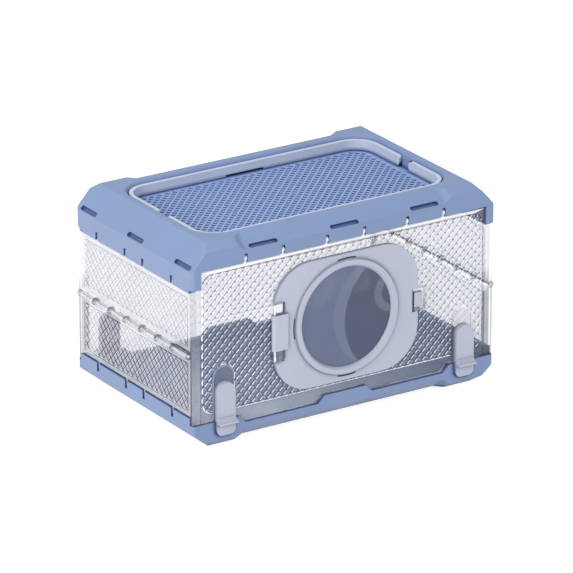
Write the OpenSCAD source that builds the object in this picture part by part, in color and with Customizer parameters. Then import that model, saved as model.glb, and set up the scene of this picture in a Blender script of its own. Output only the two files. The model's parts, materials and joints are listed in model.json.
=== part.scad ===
/* [Body] */
// Outside length of the base and of the top frame
body_l = 320; // [290:1:360]
// Outside depth, front to back
body_w = 196; // [186:1:230]
// Height of the standing box
body_h = 191; // [184:1:230]
// Radius of the upright corners
corner_r = 3.5; // [2:0.5:8]

/* [Base tray] */
// Height of the rim along the front and the back
rim_h = 24.5; // [22:0.5:28]
// Height of the rim along the short sides
side_rim_h = 30.8; // [29:0.2:36]
// Thickness of the long walls of the tray and of the top frame
long_wall = 5.4; // [5:0.1:7]
// Thickness of the short walls of the tray and of the top frame
short_wall = 7; // [6:0.1:9]
// Thickness of the floor and of the sloping skins
skin_t = 3; // [2:0.1:4]
// Width of the slope under the short sides
keel_w = 20; // [14:1:26]
// Height of the slope under the short sides
keel_h = 16; // [10:1:18]
// Height of the four feet
foot_h = 1.2; // [0.6:0.1:2.5]
// Length of each end foot along the tray
foot_l = 55; // [30:1:70]
// Distance of the feet from the middle of the short sides
foot_y = 32; // [15:1:45]

/* [Long edges] */
// Width of the chamfer along the middle of the long edges
edge_w = 15; // [12:0.5:16]
// Height of the chamfer along the middle of the long edges
edge_h = 11.4; // [9:0.2:12]
// Width of the smaller chamfer at the four corner pads
pad_w = 8.2; // [6:0.2:10]
// Length of a corner pad, from the end of the body
pad_l = 47; // [40:1:52]
// Length of the smooth step between pad and middle
step_l = 9; // [5:0.5:14]

/* [Rim notches] */
// Depth of the notches that take the tabs of the long walls
tab_drop = 6.7; // [3:0.1:8]
// Half width of the raised middle of the long rims
tab_in = 22; // [18:1:34]
// Distance of a notch's outer end from the latch next to it
tab_space = 5.5; // [2:0.5:14]
// Length of the ramp at each end of a notch
ramp_l = 7; // [3:0.5:8]

/* [Top frame] */
// Height of the frame along the front and the back
crown_h = 22.3; // [19:0.1:26]
// Height of the frame along the short sides
side_crown_h = 42; // [36:0.5:48]
// Width of the slope over the short sides
slope_w = 20; // [15:1:20]
// Height of the slope over the short sides
slope_h = 22.3; // [16:0.5:26]
// Width of each corner post below the long skirts
post_w = 9.5; // [8:0.1:12]
// Height of the gap below each corner post, over the short skirt's edge
post_up = 3; // [2:0.1:6]
// Flare of the handle well at the top
well_flare = 3; // [1:0.1:3.5]
// Width of the ledge that carries the grille
ledge_w = 5; // [3:0.5:8]
// Thickness of the ledge and of the wall round the well
well_t = 3; // [2:0.1:3]
// Thickness of the ribs under the top
rib_t = 1.8; // [1.2:0.1:3]

/* [Slots in the slopes] */
// Length of a slot along the long sides
long_slot_l = 30; // [16:1:34]
// Length of a slot along the short sides
short_slot_l = 26; // [16:1:34]
// Width of the slots
slot_w = 4.4; // [2:0.1:5]
// Depth of the slots
slot_d = 2.1; // [0.8:0.1:2.4]
// Distance of the slots from the lower edge of the slope
slot_up = 3.4; // [2.5:0.1:6]

/* [Roof grille] */
// Thickness of the grille
grille_t = 2.4; // [1.6:0.1:3]
// Pitch of the square holes
grille_pitch = 10.4; // [10:0.1:14]
// Width of the ribs between the holes
grille_rib = 2.6; // [1.5:0.1:4]
// Width of the plain margin
grille_margin = 6; // [4:0.5:12]

/* [Handles] */
// Length of the ring that the two handles make
ring_l = 262; // [240:1:270]
// Depth of that ring, front to back
ring_w = 144.6; // [130:0.2:150]
// Outer radius of the handles' corners
ring_r = 24.5; // [16:0.5:30]
// Thickness of a handle
handle_t = 4; // [3:0.1:6]
// Height of a handle
handle_h = 9.4; // [7:0.1:10.5]
// Distance of a handle's top below the top of the frame
handle_drop = 2.2; // [1:0.1:3]
// Distance of each handle's pivot from the middle
pivot_y = 11.7; // [9:0.1:16]
// Diameter of the pivot bosses
boss_d = 4.4; // [3:0.1:6]
// Width of the finger notch
grip_w = 40; // [25:1:60]
// Height of the finger notch
grip_h = 1.8; // [0.8:0.1:3]
// Play between the handles and their well
handle_gap = 0.5; // [0.4:0.1:0.9]

/* [Short walls] */
// Distance of the hinge pins behind the outside face
side_axis_in = 4; // [3.6:0.1:4.5]
// Distance of the middle hinge outside the line of the other two
fold_out = 4.6; // [4.3:0.1:5]
// Gap that is left between frame and tray when the box is folded
stop_gap = 0.5; // [0.3:0.1:1]
// Thickness of the panels
side_t = 2.8; // [2.2:0.1:3]
// Distance of the panels' outer face outside the pin line
side_face = 2.6; // [2.2:0.1:2.9]
// Depth of the flange round a panel, behind its plate
flange_d = 3.3; // [2:0.1:4]
// Thickness of the flange round a panel
flange_t = 2.5; // [1.5:0.1:4]
// Distance of each pair of lugs from the middle
side_hinge_y = 39; // [34:1:44]
// Distance between the two lugs of a pair
side_hinge_w = 48; // [30:1:52]
// Number of knuckles along the middle hinge
knuckles = 7; // [3:2:11]

/* [Hinges] */
// Diameter of the hinge pins
pin_d = 2.6; // [2:0.1:2.8]
// Thickness of the plastic round a pin
eye_wall = 1.6; // [1.2:0.1:1.8]
// Thickness of a lug
lug_t = 2.6; // [2:0.1:4]
// Outer radius of the middle hinge's knuckles
knuckle_r = 3.4; // [3:0.1:3.6]
// Running clearance between a pin and its bore
pin_fit = 0.05; // [0.02:0.01:0.1]
// Gap beside a lug or a knuckle
side_gap = 0.4; // [0.3:0.05:0.6]

/* [Long walls] */
// Distance of the walls' outer face behind the body's face
wall_set = 2.4; // [2.2:0.1:2.6]
// Thickness of the walls
wall_t = 3; // [2.4:0.1:3]
// Distance of the hinge line behind the body's face
long_axis_in = 3; // [2.8:0.1:3.2]
// Height of the hinge line above the skirt's lower edge
long_axis_up = 3; // [2.6:0.1:4]
// Spacing of the three hinges
long_hinge_x = 85; // [70:1:90]
// Distance between the two lugs of a hinge
long_hinge_w = 39; // [25:1:50]
// Height of the skirt's notches above the hinge line
hinge_notch = 4.8; // [4.4:0.1:5.4]
// Width of the flat border beside a quilted field
border = 4; // [3:0.5:8]
// Width of the flat band below the field of a long wall
band = 6.6; // [5:0.1:12]
// Radius of the field's corners
field_r = 12; // [6:1:18]
// Depth of the field below the border
field_d = 0.6; // [0.3:0.1:1]
// Play between the walls and their neighbours
wall_gap = 0.4; // [0.3:0.05:0.6]

/* [Door] */
// Width of the door plate on each side of the port ring's flange
door_side = 21.5; // [18:0.5:24]
// Distance of the door plate's lower edge above the rim of the tray
door_low = 11.2; // [9:0.1:14]
// Distance of its upper edge below the top frame
door_high = 13; // [11:0.5:16]
// Radius of the door plate's corners
door_r = 38; // [25:1:50]
// Thickness of the door plate
door_t = 3.7; // [3:0.1:4.5]
// Overlap of the plate on the wall, round the opening
door_lap = 6; // [4:0.5:7]
// Play between the door and the wall
door_gap = 0.3; // [0.25:0.05:0.5]
// Distance of the door's hinge line from the plate's left edge
door_axis_in = 0.6; // [0:0.1:0.8]
// Radius of the door's barrel
barrel_r = 2.8; // [2.6:0.1:3.2]
// Height of the door's barrel
barrel_h = 34; // [24:1:36]
// Width of the raised block that carries the barrel, from the hinge line
barrel_w = 12.9; // [8:0.1:16]
// Height of the lugs above and below the barrel
door_lug_h = 10; // [6:1:12]
// Reach of the lugs over the plate, from the hinge line
door_lug_w = 9.4; // [6:0.1:12]
// Radius of the lugs' corners
door_lug_r = 3; // [1:0.5:4]
// Height of the small window beside the barrel
core_h = 22; // [14:1:30]
// Width of that window
core_w = 6.5; // [4:0.5:9]
// Height of the spring tongue
tongue_h = 14; // [10:1:20]
// Reach of the spring tongue past the plate
tongue_out = 4.4; // [3:0.1:6]
// Reach of the spring tongue's slits into the plate
tongue_in = 6; // [4:0.5:9]
// Width of the slits above and below the tongue
slit_w = 4; // [3:0.1:6]
// Width of the groove at the root of the tongue
groove_w = 2.2; // [1:0.1:3]
// Depth of that groove
groove_in = 2.4; // [1:0.1:2.6]

/* [Port] */
// Distance of the port's edge from the upper and the lower edge of the door plate
port_in = 13; // [12:0.5:18]
// Thickness of the spigot that goes into the door
spigot_t = 3.5; // [3:0.1:5]
// Width of the ring's flange outside the spigot
ring_flange_w = 4; // [3:0.1:5]
// Height of the flange above the door plate
ring_flange_t = 2; // [1.4:0.1:3]
// Thickness of the window
window_t = 1.6; // [1:0.1:2]
// Depth of the groove that the window snaps into
groove_d = 1.8; // [1:0.1:2]
// Depth of the window below the door's outer face
window_in = 0.9; // [0.5:0.1:1.2]
// Width of the three short arcs round the ring
arc_w = 1.2; // [0.6:0.1:1.6]
// Depth of the three short arcs
arc_d = 2.4; // [0.5:0.1:2.6]
// Angle that each short arc covers
arc_angle = 20; // [10:1:30]

/* [Latches] */
// Width of a latch
latch_w = 19; // [16:0.5:22]
// Height of a latch
latch_h = 49.5; // [44:0.5:54]
// Height of a latch's lower end
latch_z = 11.5; // [11:0.1:13]
// Distance of the latches from the ends of the body
latch_in = 33; // [30:0.5:38]
// Reach of the latches in front of the body
latch_out = 3; // [0:0.1:4]
// Travel of a latch
latch_travel = 13; // [11.5:0.5:15]
// Depth of the pocket that a latch slides in
latch_pocket = 1; // [0.6:0.1:1.2]
// Play between a latch and its pocket
latch_gap = 0.3; // [0.25:0.05:0.5]
// Reach of the thumb ridge
ridge_out = 5; // [3:0.1:8]
// Height of the thumb ridge's lower face above the latch's end
ridge_up = 11.3; // [9:0.1:14]
// Thickness of the thumb ridge's edge
ridge_t = 1.9; // [1.4:0.1:3.5]
// Radius of the hollow above the thumb ridge
ridge_r = 5; // [5:0.5:12]
// Radius of the latch's lower corners
latch_r = 5; // [2:0.5:6]
// Width of the neck that passes through the wall
neck_w = 8; // [5:0.5:11]
// Height of the neck
neck_h = 10; // [8:0.5:11]
// Lip of the keeper behind the wall, on each side of the neck
keeper_lip = 3; // [2:0.5:4]
// Thickness of the keeper
keeper_t = 1.4; // [1:0.1:2]

/* [Hidden] */
$fn = 96;
// Overrun of every cut
over = 1;

// Half sizes of the body
hx = body_l / 2;
hy = body_w / 2;
// Heights of the lower edges of the top frame
skirt_z = body_h - crown_h;
side_skirt_z = body_h - side_crown_h;
post_z = side_skirt_z + post_up;
post_x = hx - post_w;
// Height of the corner pads' chamfer, on the slope of the middle one
pad_h = pad_w * edge_h / edge_w;
pad_x = hx - pad_l;
// Radii of the bores and of the plastic round them
pin_r = pin_d / 2;
bore_r = pin_r + pin_fit;
eye_r = pin_r + eye_wall;

// Pin lines of the short walls
side_axis_x = hx - side_axis_in;
axis_set = fold_out - stop_gap / 2;
base_axis_z = side_rim_h - axis_set;
top_axis_z = side_skirt_z + axis_set;
mid_axis_x = side_axis_x + fold_out;
mid_axis_z = (base_axis_z + top_axis_z) / 2;
// Clear distance of a panel's end from its pin line, past the rim's inner corner
panel_end = norm([short_wall - side_axis_in, axis_set]) + side_gap;
// Clear distance of a panel's end from the middle hinge
mid_end = knuckle_r + side_gap;
side_hw = hy - wall_set - wall_t - wall_gap;
end_y = side_hw + wall_gap / 2;
side_out_x = side_axis_x + side_face;

// Pin line and levels of the long walls
long_axis_y = hy - long_axis_in;
long_axis_z = skirt_z + long_axis_up;
wall_y = hy - wall_set;
wall_in_y = wall_y - wall_t;
// Upper edge of a long wall, sloped to clear the skirt's lower corner and face as it swings
wall_reach = norm([long_axis_in, long_axis_up]) + side_gap;
wall_top = long_axis_z - sqrt(pow(wall_reach, 2) - pow(long_axis_y - wall_in_y, 2));
wall_top_out = long_axis_z - wall_reach - (wall_y - long_axis_y);
wall_low = rim_h + wall_gap;
wall_hx = hx - side_gap;
// Shoulders that swing clear of the corner posts
shoulder_z = long_axis_z - norm([long_axis_in, long_axis_z - post_z]) - wall_gap / 2;
shoulder_x = post_x - wall_gap;
long_eye_r = hy - long_axis_y - side_gap;

// Levels of the handle well and the grille
ring_hx = ring_l / 2;
ring_hy = ring_w / 2;
handle_z = body_h - handle_drop - handle_h;
well_hx = ring_hx + handle_gap;
well_hy = ring_hy + handle_gap;
well_r = ring_r + handle_gap;
grille_z = handle_z - stop_gap - grille_t;
ledge_z = grille_z - well_t;
pivot_z = handle_z + handle_h / 2;

// Sizes and places of the door and the port
door_h = skirt_z - rim_h - door_low - door_high;
door_z = rim_h + door_low + door_h / 2;
port_r = door_h / 2 - port_in;
spigot_r = port_r + spigot_t;
ring_flange_r = spigot_r + ring_flange_w;
door_w = 2 * (ring_flange_r + door_side);
door_axis_x = door_w / 2 - door_axis_in;
door_in_y = wall_y + door_gap;
door_out_y = door_in_y + door_t;
door_axis_y = wall_y + door_gap + barrel_r;
window_y = door_out_y - window_in;
// Places of the latches and of the notches beside them
latch_in_y = wall_y - latch_pocket + latch_gap;
latch_out_y = hy + latch_out;
latch_x = hx - latch_in;
tab_out = latch_x - latch_w / 2 - tab_space;

// Clear colours and plastics
blue = [0.53, 0.63, 0.82];
lavender = [0.74, 0.77, 0.85];
clear = [0.86, 0.88, 0.92, 0.45];
smoke = [0.38, 0.41, 0.53, 0.75];
steel = [0.7, 0.72, 0.75];

// Half of a section whose upper edge is chamfered, drawn in by t all round
function crown_side(half, top, w, h, t, low) = [
    [half - t, low],
    [half - t, top - h - t * (norm([w, h]) - h) / w],
    [half - w - t * (norm([w, h]) - w) / h, top - t]];

// A whole section from its right half
function whole(side) = concat(side, [for (i = [len(side) - 1 : -1 : 0]) [-side[i][0], side[i][1]]]);

// A prism along Y from a section in X and Z
module along_y(length) {
    rotate([90, 0, 0]) linear_extrude(height = length, center = true) children();
}

// A prism along X from a section in Y and Z
module along_x(length) {
    rotate([90, 0, 90]) linear_extrude(height = length, center = true) children();
}

module rounded(w, h, r) {
    square([w - 2 * r, h], center = true);
    square([w, h - 2 * r], center = true);
    for (x = [-1, 1], y = [-1, 1])
        translate([x * (w / 2 - r), y * (h / 2 - r)]) circle(r);
}

// A block that is centred in X and Y and stands on z
module block(w, d, h, z) {
    translate([-w / 2, -d / 2, z]) cube([w, d, h]);
}

// A round bar along Y
module bar_y(r, length) {
    rotate([90, 0, 0]) cylinder(r = r, h = length, center = true);
}

// A round bar along X
module bar_x(r, length) {
    rotate([0, 90, 0]) cylinder(r = r, h = length, center = true);
}

module both_x() {
    children();
    mirror([1, 0, 0]) children();
}

module both_y() {
    children();
    mirror([0, 1, 0]) children();
}

// The deeper chamfer between the corner pads of a long lower edge at the front, with smooth ends
module edge_cut() {
    slope_l = norm([edge_w, edge_h]);
    deep = (edge_w - pad_w) * edge_h / slope_l;
    ease = [for (i = [0 : 6]) [step_l * i / 6, deep * (1 - cos(180 * i / 6)) / 2]];
    outline = concat(
        [for (p = ease) [pad_x - step_l + p[0], p[1]]],
        [[pad_x, deep + edge_w], [-pad_x, deep + edge_w]],
        [for (i = [6 : -1 : 0]) [-(pad_x - step_l + ease[i][0]), ease[i][1]]]);
    translate([0, -hy, edge_h])
        rotate([atan2(-edge_w, -edge_h), 0, 0])
            linear_extrude(height = 2 * slope_l, center = true)
                polygon(outline);
}

// The outside of the body, with slopes of the given size over its short sides
module hull_form(w, h, height) {
    intersection() {
        linear_extrude(height = height) rounded(body_l, body_w, corner_r);
        along_y(body_w + over) polygon(whole(crown_side(hx, height, w, h, 0, -over)));
        along_x(body_l + over) polygon(whole(crown_side(hy, height, pad_w, pad_h, 0, -over)));
    }
}

// The same with the deeper chamfers of the long edges cut, top side up
module body_form(w, h, height) {
    difference() {
        hull_form(w, h, height);
        both_y() translate([0, 0, height]) mirror([0, 0, 1]) edge_cut();
    }
}

// The hollow inside that form
module hollow_form(w, h, height) {
    intersection() {
        translate([0, 0, -over])
            linear_extrude(height = height + over)
                square([body_l - 2 * short_wall, body_w - 2 * long_wall], center = true);
        along_y(body_w) polygon(whole(crown_side(hx, height, w, h, skin_t, -over)));
        along_x(body_l) polygon(whole(crown_side(hy, height, edge_w, edge_h, skin_t, -over)));
    }
}

// A lug pair's notches through a short side, around the pin line at the origin
module side_notches(reach) {
    for (y = [-side_hinge_y, side_hinge_y], s = [-1, 1])
        translate([-short_wall, y + (s * side_hinge_w - lug_t) / 2 - side_gap, -eye_r - side_gap])
            cube([2 * short_wall, lug_t + 2 * side_gap, reach + eye_r]);
}

// Bores for the pins of a short side
module side_bores() {
    for (y = [-side_hinge_y, side_hinge_y])
        translate([0, y, 0]) bar_y(bore_r, side_hinge_w + lug_t + 2 * side_gap + long_wall);
}

// Pins of a short side, from lug to lug
module side_pins() {
    for (y = [-side_hinge_y, side_hinge_y])
        translate([0, y, 0]) bar_y(pin_r, side_hinge_w + lug_t + side_gap + long_wall);
}

// A pill-shaped pocket whose floor lies in the plane of X and Y
module pill(length) {
    translate([0, 0, -slot_d])
        linear_extrude(height = slot_d + over) {
            square([length - slot_w, slot_w], center = true);
            for (s = [-1, 1]) translate([s * (length - slot_w) / 2, 0]) circle(slot_w / 2);
        }
}

module base_tray() {
    notch_z = rim_h - tab_drop;
    color(blue)
    difference() {
        translate([0, 0, side_rim_h]) mirror([0, 0, 1])
            body_form(keel_w, keel_h, side_rim_h);
        translate([0, 0, side_rim_h]) mirror([0, 0, 1])
            hollow_form(keel_w, keel_h, side_rim_h);
        // The long rims are lower than the short ones
        both_y() translate([-hx - over, end_y, rim_h])
            cube([body_l + 2 * over, hy, side_rim_h]);
        // Notches with sloping ends for the tabs of the long walls
        both_x() along_y(body_w + over)
            polygon([[tab_in, rim_h + over], [tab_in, rim_h], [tab_in + ramp_l, notch_z],
                     [tab_out - ramp_l, notch_z], [tab_out, rim_h], [tab_out, rim_h + over]]);
        // Pockets for the tongues of the latches
        both_x() both_y()
            front_sheet(latch_in_y - latch_gap, hy + over)
                translate([latch_x, latch_z]) latch_outline(latch_gap, 0);
        // The middle of the underside stands clear of the ground
        block(body_l - 2 * foot_l, body_w + over, foot_h + over, -over);
        block(body_l + over, 2 * foot_y, foot_h + over, -over);
        both_x() translate([side_axis_x, 0, base_axis_z]) {
            side_notches(side_rim_h);
            side_bores();
        }
    }
}

module base_pins_left() {
    color(steel) translate([-side_axis_x, 0, base_axis_z]) side_pins();
}

module base_pins_right() {
    color(steel) translate([side_axis_x, 0, base_axis_z]) side_pins();
}

// The plate of a short wall's half, from its pin line at the origin up to the middle hinge
module side_plate(reach) {
    plate_h = reach - panel_end - mid_end;
    difference() {
        translate([side_face - side_t, -side_hw, panel_end])
            cube([side_t, 2 * side_hw, plate_h]);
        translate([side_face - field_d, -side_hw + border, panel_end + border])
            cube([field_d + over, 2 * (side_hw - border), plate_h - 2 * border]);
    }
    difference() {
        translate([side_face - side_t - flange_d, -side_hw, panel_end])
            cube([flange_d + side_t, 2 * side_hw, plate_h]);
        translate([-side_face - side_t - flange_d, -side_hw + flange_t, panel_end + flange_t])
            cube([2 * side_face + flange_d + side_t, 2 * side_hw - 2 * flange_t,
                  plate_h - 2 * flange_t]);
    }
}

// Half of a short wall: plate, lugs at its pin line, and every second knuckle from first on
module side_panel(first) {
    reach = mid_axis_z - base_axis_z;
    knuckle_w = 2 * side_hw / knuckles;
    difference() {
        union() {
            side_plate(reach);
            for (y = [-side_hinge_y, side_hinge_y], s = [-1, 1])
                translate([0, y + s * side_hinge_w / 2, 0]) {
                    bar_y(eye_r, lug_t);
                    translate([side_face - side_t - pin_r, -lug_t / 2, 0])
                        cube([side_t + pin_r, lug_t, panel_end + flange_t]);
                }
            for (i = [first : 2 : knuckles - 1])
                translate([fold_out, (i + 1 / 2) * knuckle_w - side_hw, reach]) {
                    bar_y(knuckle_r, knuckle_w - side_gap);
                    translate([side_face - side_t - fold_out, -knuckle_w / 2 + side_gap / 2,
                               -mid_end - flange_t])
                        cube([side_t, knuckle_w - side_gap, mid_end + flange_t]);
                    translate([side_face - side_t - fold_out, -knuckle_w / 2 + side_gap / 2,
                               -knuckle_r])
                        cube([fold_out - side_face + side_t, knuckle_w - side_gap, knuckle_r]);
                }
        }
        side_bores();
        translate([fold_out, 0, reach]) bar_y(bore_r, body_w);
    }
}

module lower_panel() {
    translate([side_axis_x, 0, base_axis_z]) side_panel(0);
}

module upper_panel() {
    translate([side_axis_x, 0, top_axis_z]) mirror([0, 0, 1]) side_panel(1);
}

module middle_pin() {
    translate([mid_axis_x, 0, mid_axis_z]) bar_y(pin_r, 2 * side_hw - side_gap);
}

module left_lower_panel() {
    color(clear) mirror([1, 0, 0]) lower_panel();
}

module left_upper_panel() {
    color(clear) mirror([1, 0, 0]) upper_panel();
}

module left_middle_pin() {
    color(steel) mirror([1, 0, 0]) middle_pin();
}

module right_lower_panel() {
    color(clear) lower_panel();
}

module right_upper_panel() {
    color(clear) upper_panel();
}

module right_middle_pin() {
    color(steel) middle_pin();
}

// The handle well: a rounded opening that flares towards the top
module well_form() {
    flare_h = well_flare;
    inner_x = well_hx - well_r;
    inner_y = well_hy - well_r;
    translate([0, 0, grille_z])
        linear_extrude(height = body_h - grille_z + over)
            rounded(2 * well_hx, 2 * well_hy, well_r);
    translate([0, 0, body_h - flare_h]) {
        along_x(2 * inner_x) polygon(whole([[well_hy, 0], [well_hy + well_flare, flare_h]]));
        along_y(2 * inner_y) polygon(whole([[well_hx, 0], [well_hx + well_flare, flare_h]]));
        for (x = [-inner_x, inner_x], y = [-inner_y, inner_y])
            translate([x, y, 0]) cylinder(r1 = well_r, r2 = well_r + well_flare, h = flare_h);
    }
}

// Slots in the slope of the front edge and of the left edge
module long_slots() {
    slope_l = norm([edge_w, edge_h]);
    for (x = [-long_hinge_x, 0, long_hinge_x])
        translate([x, -hy + slot_up * edge_w / slope_l, body_h - edge_h + slot_up * edge_h / slope_l])
            rotate([atan2(edge_h, edge_w), 0, 0]) pill(long_slot_l);
}

module short_slots() {
    slope_l = norm([slope_w, slope_h]);
    reach = side_hw - short_slot_l / 2;
    for (y = [-reach, 0, reach])
        translate([-hx + slot_up * slope_w / slope_l, y,
                   body_h - slope_h + slot_up * slope_h / slope_l])
            rotate([0, -atan2(slope_h, slope_w), 0]) rotate([0, 0, 90]) pill(short_slot_l);
}

module top_frame() {
    color(blue)
    difference() {
        body_form(slope_w, slope_h, body_h);
        translate([0, 0, -over]) block(body_l + over, body_w + over, side_skirt_z + over, 0);
        // The long skirts end higher than the short ones, and the corner posts between
        both_y() translate([-post_x, end_y, 0])
            cube([2 * post_x, hy, skirt_z]);
        both_y() translate([-hx - over, end_y, 0])
            cube([body_l + 2 * over, hy, post_z]);
        difference() {
            hollow_form(slope_w, slope_h, body_h);
            translate([0, 0, ledge_z])
                linear_extrude(height = crown_h)
                    rounded(2 * (well_hx + well_t), 2 * (well_hy + well_t), well_r + well_t);
            top_ribs();
        }
        well_form();
        linear_extrude(height = body_h)
            rounded(2 * (well_hx - ledge_w), 2 * (well_hy - ledge_w), well_r - ledge_w);
        both_y() long_slots();
        both_x() short_slots();
        both_x() translate([side_axis_x, 0, top_axis_z]) mirror([0, 0, 1]) {
            side_notches(side_crown_h);
            side_bores();
        }
        both_y() long_hinge_cuts();
        both_x() for (y = [-pivot_y, pivot_y])
            translate([well_hx, y, pivot_z]) bar_x(boss_d / 2 + pin_fit, 2 * well_t + over);
    }
    color(blue) both_x() dividers();
}

// Ribs between the outer skin and the well, under the top
module top_ribs() {
    rib_x = [-long_hinge_x - long_hinge_w / 2, -long_hinge_w, long_hinge_w,
             long_hinge_x + long_hinge_w / 2];
    for (x = rib_x)
        translate([x - rib_t / 2, -hy, ledge_z]) cube([rib_t, body_w, crown_h]);
    for (y = [-side_hinge_y, side_hinge_y])
        translate([-hx, y - rib_t / 2, ledge_z]) cube([body_l, rib_t, crown_h]);
}

// Low stops on the wall of the well, between the ends of the handles
module dividers() {
    stop_w = 2 * pivot_y - handle_h - 2 * handle_gap;
    translate([well_hx - handle_t / 2, -stop_w / 2, grille_z + grille_t])
        cube([handle_t / 2 + well_t / 2, stop_w, handle_h]);
}

// Notches for the lugs of the front wall, and the bores of its pins
module long_hinge_cuts() {
    notch_r = long_eye_r + side_gap;
    translate([0, -long_axis_y, long_axis_z])
        for (x = [-long_hinge_x, 0, long_hinge_x]) {
            for (s = [-1, 1])
                translate([x + s * long_hinge_w / 2, 0, 0]) {
                    bar_x(notch_r, lug_t + 2 * side_gap);
                    translate([-lug_t / 2 - side_gap, -hy, -crown_h])
                        cube([lug_t + 2 * side_gap, hy + notch_r, crown_h]);
                    translate([-lug_t / 2 - side_gap, -hy, -over])
                        cube([lug_t + 2 * side_gap, hy, hinge_notch + over]);
                }
            translate([x, 0, 0]) bar_x(bore_r, long_hinge_w + lug_t + 2 * side_gap + long_wall);
        }
}

module roof_grille() {
    edge = handle_gap / 2;
    step = grille_pitch * sqrt(2);
    hole = grille_pitch - grille_rib;
    nx = ceil(ring_hx / step);
    ny = ceil(ring_hy / step);
    free_x = well_hx - ledge_w - grille_margin / 2 - hole / sqrt(2);
    free_y = well_hy - ledge_w - grille_margin / 2 - hole / sqrt(2);
    corner = well_r - hole;
    color(blue)
    difference() {
        translate([0, 0, grille_z])
            linear_extrude(height = grille_t)
                rounded(2 * (well_hx - edge), 2 * (well_hy - edge), well_r - edge);
        for (i = [-nx : nx], j = [-ny : ny], s = [0, 1 / 2]) {
            x = (i + s) * step;
            y = (j + s) * step;
            in_corner = abs(x) > free_x - corner && abs(y) > free_y - corner;
            depth = norm([abs(x) - (free_x - corner), abs(y) - (free_y - corner)]);
            if (abs(x) < free_x && abs(y) < free_y && !(in_corner && depth > corner))
                translate([x, y, grille_z + grille_t / 2])
                    rotate([0, 0, 45]) cube([hole, hole, grille_t + over], center = true);
        }
    }
}

module top_pins_left() {
    color(steel) translate([-side_axis_x, 0, top_axis_z]) side_pins();
}

module top_pins_right() {
    color(steel) translate([side_axis_x, 0, top_axis_z]) side_pins();
}

// The three pins of the front wall's hinges
module long_pins() {
    for (x = [-long_hinge_x, 0, long_hinge_x])
        translate([x, -long_axis_y, long_axis_z])
            bar_x(pin_r, long_hinge_w + lug_t + side_gap + long_wall);
}

module front_hinge_pins() {
    color(steel) long_pins();
}

module back_hinge_pins() {
    color(steel) mirror([0, 1, 0]) long_pins();
}

// Outline of a long wall, with tabs at its lower edge and shoulders under the posts
module wall_outline() {
    tab_z = wall_low - tab_drop;
    gap = wall_gap;
    side = [[0, wall_low], [tab_in + gap, wall_low], [tab_in + ramp_l + gap, tab_z],
            [tab_out - ramp_l - gap, tab_z], [tab_out - gap, wall_low], [wall_hx, wall_low],
            [wall_hx, shoulder_z], [shoulder_x, shoulder_z], [shoulder_x, wall_top]];
    polygon(concat(side, [for (i = [len(side) - 1 : -1 : 1]) [-side[i][0], side[i][1]]]));
}

// Outline of a latch and of the pocket that it slides in
module latch_outline(grow, lift) {
    w = latch_w + 2 * grow;
    translate([-w / 2, latch_r]) square([w, latch_h + lift - w / 2 - latch_r + grow]);
    translate([0, latch_h + lift - w / 2 + grow]) circle(w / 2);
    translate([-w / 2 + latch_r, -grow]) square([w - 2 * latch_r, latch_h / 2]);
    for (s = [-1, 1]) translate([s * (w / 2 - latch_r), latch_r - grow]) circle(latch_r);
}

// A sheet from a drawing in X and Z, between two distances in front of the middle
module front_sheet(y0, y1) {
    translate([0, -y0, 0]) rotate([90, 0, 0]) linear_extrude(height = y1 - y0) children();
}

// A plain long wall at the front, with its lugs, latch pockets and neck slots
module long_wall_body() {
    field_hx = shoulder_x - field_d;
    field_lo = wall_low + band;
    field_hi = wall_top - border;
    difference() {
        union() {
            difference() {
                front_sheet(wall_in_y, wall_y) wall_outline();
                along_x(body_l) polygon([[-wall_in_y, wall_top], [-wall_in_y, wall_top + over],
                    [-wall_y - over, wall_top + over], [-wall_y - over, wall_top_out],
                    [-wall_y, wall_top_out]]);
            }
            translate([0, -long_axis_y, long_axis_z])
                for (x = [-long_hinge_x, 0, long_hinge_x], s = [-1, 1])
                    translate([x + s * long_hinge_w / 2, 0, 0]) {
                        bar_x(long_eye_r, lug_t);
                        translate([-lug_t / 2, long_axis_y - wall_y, -long_axis_z + wall_top - border])
                            cube([lug_t, wall_t, long_axis_z - wall_top + border]);
                    }
        }
        difference() {
            front_sheet(wall_y - field_d, wall_y + over)
                translate([0, (field_lo + field_hi) / 2])
                    rounded(2 * field_hx, field_hi - field_lo, field_r);
            both_x() front_sheet(wall_in_y, wall_y)
                translate([latch_x, latch_z]) latch_outline(border / 2, latch_travel);
        }
        // The seam line near each end
        both_x() translate([shoulder_x, -wall_y - over, wall_low - over])
            cube([field_d, field_d + over, shoulder_z]);
        both_x() translate([latch_x, 0, latch_z]) {
            front_sheet(wall_y - latch_pocket, wall_y + over) latch_outline(latch_gap, latch_travel);
            translate([-neck_w / 2 - latch_gap, -wall_y - over, latch_h / 2 - latch_gap])
                cube([neck_w + 2 * latch_gap, wall_t + 2 * over,
                      neck_h + latch_travel + 2 * latch_gap]);
        }
        for (x = [-long_hinge_x, 0, long_hinge_x])
            translate([x, -long_axis_y, long_axis_z])
                bar_x(bore_r, long_hinge_w + lug_t + long_wall);
    }
}

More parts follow.
